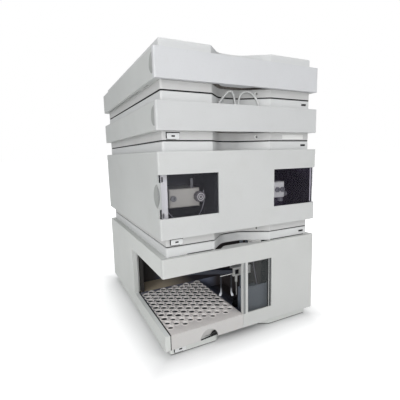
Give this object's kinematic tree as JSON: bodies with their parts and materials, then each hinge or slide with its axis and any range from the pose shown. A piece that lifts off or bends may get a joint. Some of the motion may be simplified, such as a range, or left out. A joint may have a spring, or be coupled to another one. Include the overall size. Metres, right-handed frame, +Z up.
{
  "type": "liquid chromatography stack",
  "caption": "Benchtop liquid chromatograph: stacked grey modules with a windowed pump, a degasser with tube loops and an autosampler whose perforated vial tray slides out of an open corner.",
  "frame": {"origin": "middle of the footprint, on the surface the stack stands on", "axes": "+Z up, the front covers face -Y, +X to the right seen from the front"},
  "size_m": [0.345, 0.435, 0.54],
  "materials": {
    "cover_grey": "satin",
    "lid_grey": "satin",
    "base_grey": "satin",
    "panel_grey": "satin",
    "button_grey": "satin",
    "tray_grey": "satin",
    "chassis_dark": "matt foam",
    "sheet_metal": "brushed",
    "head_steel": "machined",
    "arm_aluminium": "anodised",
    "fitting_white": "smooth",
    "fitting_dark": "matt",
    "socket_black": "matt",
    "tube_clear": "translucent",
    "lamp": "translucent",
    "clear_pane": "clear tinted"
  },
  "bodies": {
    "stack": {"data_ports": "socket_black", "degasser_base": "base_grey", "degasser_chassis": "chassis_dark", "degasser_fittings": "fitting_white", "degasser_lid": "lid_grey", "degasser_rear_panel": "sheet_metal", "degasser_side_left": "panel_grey", "degasser_side_right": "panel_grey", "degasser_tube_left": "tube_clear", "degasser_tube_right": "tube_clear", "leak_funnel": "fitting_white", "leak_outlets": "fitting_white", "mains_inlets": "socket_black", "needle_seat": "fitting_dark", "pump_base": "base_grey", "pump_capillaries": "tube_clear", "pump_chassis": "chassis_dark", "pump_fittings": "fitting_dark", "pump_head_left": "head_steel", "pump_head_right": "head_steel", "pump_lid": "lid_grey", "pump_rear_panel": "sheet_metal", "pump_side_left": "panel_grey", "pump_side_right": "panel_grey", "sampler_base": "base_grey", "sampler_capillary": "tube_clear", "sampler_chassis": "chassis_dark", "sampler_lid": "lid_grey", "sampler_rear_panel": "sheet_metal", "sampler_side_left": "panel_grey", "sampler_side_right": "panel_grey", "sampling_frame": "arm_aluminium", "status_lamps": "lamp", "transport_rail": "head_steel", "upper_base": "base_grey", "upper_chassis": "chassis_dark", "upper_lid": "lid_grey", "upper_rear_panel": "sheet_metal", "upper_side_left": "panel_grey", "upper_side_right": "panel_grey"},
    "sampler_button": {"sampler_power_button": "button_grey"},
    "pump_button": {"pump_power_button": "button_grey"},
    "degasser_button": {"degasser_power_button": "button_grey"},
    "upper_cover": {"upper_front_cover": "cover_grey"},
    "degasser_cover": {"degasser_front_cover": "cover_grey"},
    "pump_cover": {"pump_front_cover": "cover_grey", "pump_window_left": "clear_pane", "pump_window_right": "clear_pane"},
    "sampler_cover": {"sampler_front_cover": "cover_grey", "sampler_window": "clear_pane"},
    "tray": {"vial_tray": "tray_grey"},
    "knob": {"purge_knob": "fitting_dark"},
    "carriage": {"transport_carriage": "fitting_dark"},
    "slider": {"transport_slider": "fitting_dark"},
    "arm": {"gripper_arm": "arm_aluminium"},
    "finger_near": {"gripper_finger_near": "fitting_white"},
    "finger_far": {"gripper_finger_far": "fitting_white"},
    "needle": {"needle_arm": "fitting_white"},
    "pump_rotor": {"pump_fan": "fitting_dark"},
    "sampler_rotor": {"sampler_fan": "fitting_dark"}
  },
  "joints": [
    {"name": "sampler_button_press", "type": "slide", "parent": "stack", "child": "sampler_button", "axis": [0, 1, 0], "range_m": [0, 0.003], "stiffness_N_per_m": 600, "springref_m": -0.001},
    {"name": "pump_button_press", "type": "slide", "parent": "stack", "child": "pump_button", "axis": [0, 1, 0], "range_m": [0, 0.003], "stiffness_N_per_m": 600, "springref_m": -0.001},
    {"name": "degasser_button_press", "type": "slide", "parent": "stack", "child": "degasser_button", "axis": [0, 1, 0], "range_m": [0, 0.003], "stiffness_N_per_m": 600, "springref_m": -0.001},
    {"name": "upper_cover_off", "type": "slide", "parent": "stack", "child": "upper_cover", "axis": [0, -1, 0], "range_m": [0, 0.06]},
    {"name": "degasser_cover_off", "type": "slide", "parent": "stack", "child": "degasser_cover", "axis": [0, -1, 0], "range_m": [0, 0.06]},
    {"name": "pump_cover_off", "type": "slide", "parent": "stack", "child": "pump_cover", "axis": [0, -1, 0], "range_m": [0, 0.06]},
    {"name": "sampler_cover_off", "type": "slide", "parent": "stack", "child": "sampler_cover", "axis": [0, -1, 0], "range_m": [0, 0.06]},
    {"name": "tray_slide", "type": "slide", "parent": "stack", "child": "tray", "axis": [0, -1, 0], "range_m": [0, 0.19]},
    {"name": "purge_turn", "type": "hinge", "parent": "stack", "child": "knob", "pos_m": [-0.0845, -0.1865, 0.2815], "axis": [0, -1, 0], "range_deg": [0, 360]},
    {"name": "transport_x", "type": "slide", "parent": "stack", "child": "carriage", "axis": [1, 0, 0], "range_m": [-0.05, 0]},
    {"name": "transport_z", "type": "slide", "parent": "carriage", "child": "slider", "axis": [0, 0, 1], "range_m": [-0.008, 0.028]},
    {"name": "transport_turn", "type": "hinge", "parent": "slider", "child": "arm", "pos_m": [-0.078, -0.1115, 0.11], "axis": [0, 0, 1], "range_deg": [-62, 90]},
    {"name": "finger_near_close", "type": "slide", "parent": "arm", "child": "finger_near", "axis": [0.8829, -0.4695, 0], "range_m": [0, 0.005]},
    {"name": "finger_far_close", "type": "slide", "parent": "arm", "child": "finger_far", "axis": [-0.8829, 0.4695, 0], "range_m": [0, 0.005]},
    {"name": "needle_lift", "type": "slide", "parent": "stack", "child": "needle", "axis": [0, 0, 1], "range_m": [-0.018, 0.04]},
    {"name": "pump_fan_spin", "type": "hinge", "parent": "stack", "child": "pump_rotor", "pos_m": [-0.092, 0.2015, 0.292], "axis": [0, 1, 0], "continuous": true},
    {"name": "sampler_fan_spin", "type": "hinge", "parent": "stack", "child": "sampler_rotor", "pos_m": [-0.092, 0.2015, 0.104], "axis": [0, 1, 0], "continuous": true}
  ],
  "couplings": [
    {"joint": "finger_far_close", "follows": "finger_near_close", "ratio": 1}
  ]
}
